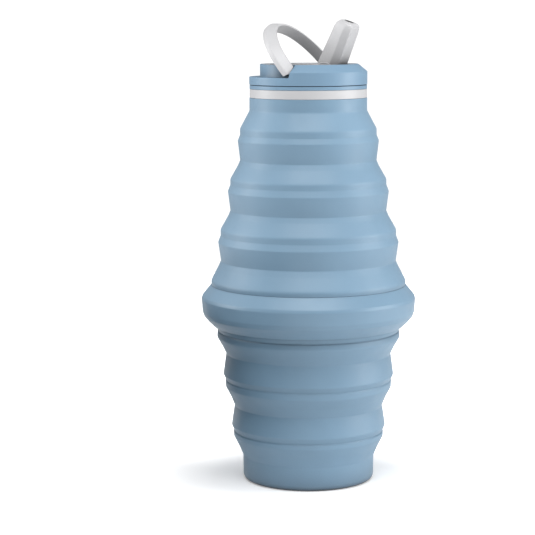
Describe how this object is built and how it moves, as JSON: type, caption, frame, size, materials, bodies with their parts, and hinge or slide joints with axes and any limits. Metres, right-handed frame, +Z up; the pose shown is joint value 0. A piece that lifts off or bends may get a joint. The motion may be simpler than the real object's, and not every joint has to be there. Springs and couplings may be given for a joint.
{
  "type": "folding water bottle",
  "caption": "Folding silicone water bottle standing open, stepped body with a wide waist band, screw lid with a raised flip spout and a finger loop",
  "frame": {"origin": "centre of the base's flat underside, at the bottom centre of the bounding box", "axes": "+Z is up along the bottle's axis, its longest extent; the spout folds up and over towards +X, the finger loop lies towards -X; both hinge along Y"},
  "size_m": [0.1038, 0.1038, 0.2234],
  "materials": {
    "silicone_blue": "matte moulded silicone, light slate blue",
    "plastic_blue": "fine satin moulded plastic, light slate blue",
    "plastic_grey": "fine satin moulded plastic, pale grey",
    "silicone_clear": "matte pale silicone seals"
  },
  "bodies": {
    "base": {"base_cup": "silicone_blue", "web_lower_3": "silicone_blue"},
    "lower_2": {"ring_lower_2": "silicone_blue", "web_lower_2": "silicone_blue"},
    "lower_1": {"ring_lower_1": "silicone_blue", "web_lower_1": "silicone_blue"},
    "waist": {"waist_ring": "silicone_blue", "waist_band": "silicone_blue", "web_upper_4": "silicone_blue"},
    "upper_3": {"ring_upper_3": "silicone_blue", "web_upper_3": "silicone_blue"},
    "upper_2": {"ring_upper_2": "silicone_blue", "web_upper_2": "silicone_blue"},
    "upper_1": {"ring_upper_1": "silicone_blue", "web_upper_1": "silicone_blue"},
    "neck": {"neck_collar": "silicone_blue", "neck_ring": "plastic_grey"},
    "gasket": {"lid_gasket": "silicone_clear"},
    "lid": {"lid_base": "plastic_blue", "lid_shell": "plastic_blue", "lid_deck": "plastic_grey", "spout_seal": "silicone_clear", "vent_valve": "silicone_clear"},
    "spout": {"spout": "plastic_grey"},
    "loop": {"finger_loop": "plastic_grey"}
  },
  "joints": [
    {"name": "fold_lower_3", "type": "slide", "parent": "base", "child": "lower_2", "axis": [0, 0, -1], "range_m": [0, 0.0195], "deforming": ["web_lower_3"]},
    {"name": "fold_lower_2", "type": "slide", "parent": "lower_2", "child": "lower_1", "axis": [0, 0, -1], "range_m": [0, 0.0215], "deforming": ["web_lower_2"]},
    {"name": "fold_lower_1", "type": "slide", "parent": "lower_1", "child": "waist", "axis": [0, 0, -1], "range_m": [0, 0.0205], "deforming": ["web_lower_1"]},
    {"name": "fold_upper_4", "type": "slide", "parent": "waist", "child": "upper_3", "axis": [0, 0, -1], "range_m": [0, 0.021], "deforming": ["web_upper_4"]},
    {"name": "fold_upper_3", "type": "slide", "parent": "upper_3", "child": "upper_2", "axis": [0, 0, -1], "range_m": [0, 0.0219], "deforming": ["web_upper_3"]},
    {"name": "fold_upper_2", "type": "slide", "parent": "upper_2", "child": "upper_1", "axis": [0, 0, -1], "range_m": [0, 0.0219], "deforming": ["web_upper_2"]},
    {"name": "fold_upper_1", "type": "slide", "parent": "upper_1", "child": "neck", "axis": [0, 0, -1], "range_m": [0, 0.0177], "deforming": ["web_upper_1"]},
    {"name": "lid_lift", "type": "slide", "parent": "neck", "child": "gasket", "axis": [0, 0, 1], "range_m": [0, 0.009]},
    {"name": "lid_turn", "type": "hinge", "parent": "gasket", "child": "lid", "pos_m": [0, 0, 0.1927], "axis": [0, 0, 1], "range_deg": [0, 541]},
    {"name": "spout_flip", "type": "hinge", "parent": "lid", "child": "spout", "pos_m": [0.0106, 0, 0.1971], "axis": [0, 1, 0], "range_deg": [-111, 0]},
    {"name": "loop_raise", "type": "hinge", "parent": "lid", "child": "loop", "pos_m": [0.001, 0, 0.1994], "axis": [0, 1, 0], "range_deg": [-50.4, 0]}
  ],
  "couplings": [
    {"joint": "fold_lower_2", "follows": "fold_lower_3", "ratio": 1.1},
    {"joint": "fold_lower_1", "follows": "fold_lower_3", "ratio": 1.05},
    {"joint": "fold_upper_3", "follows": "fold_upper_4", "ratio": 1.04},
    {"joint": "fold_upper_2", "follows": "fold_upper_4", "ratio": 1.04},
    {"joint": "fold_upper_1", "follows": "fold_upper_4", "ratio": 0.84},
    {"joint": "lid_turn", "follows": "lid_lift", "rad_per_m": 1047.2}
  ]
}
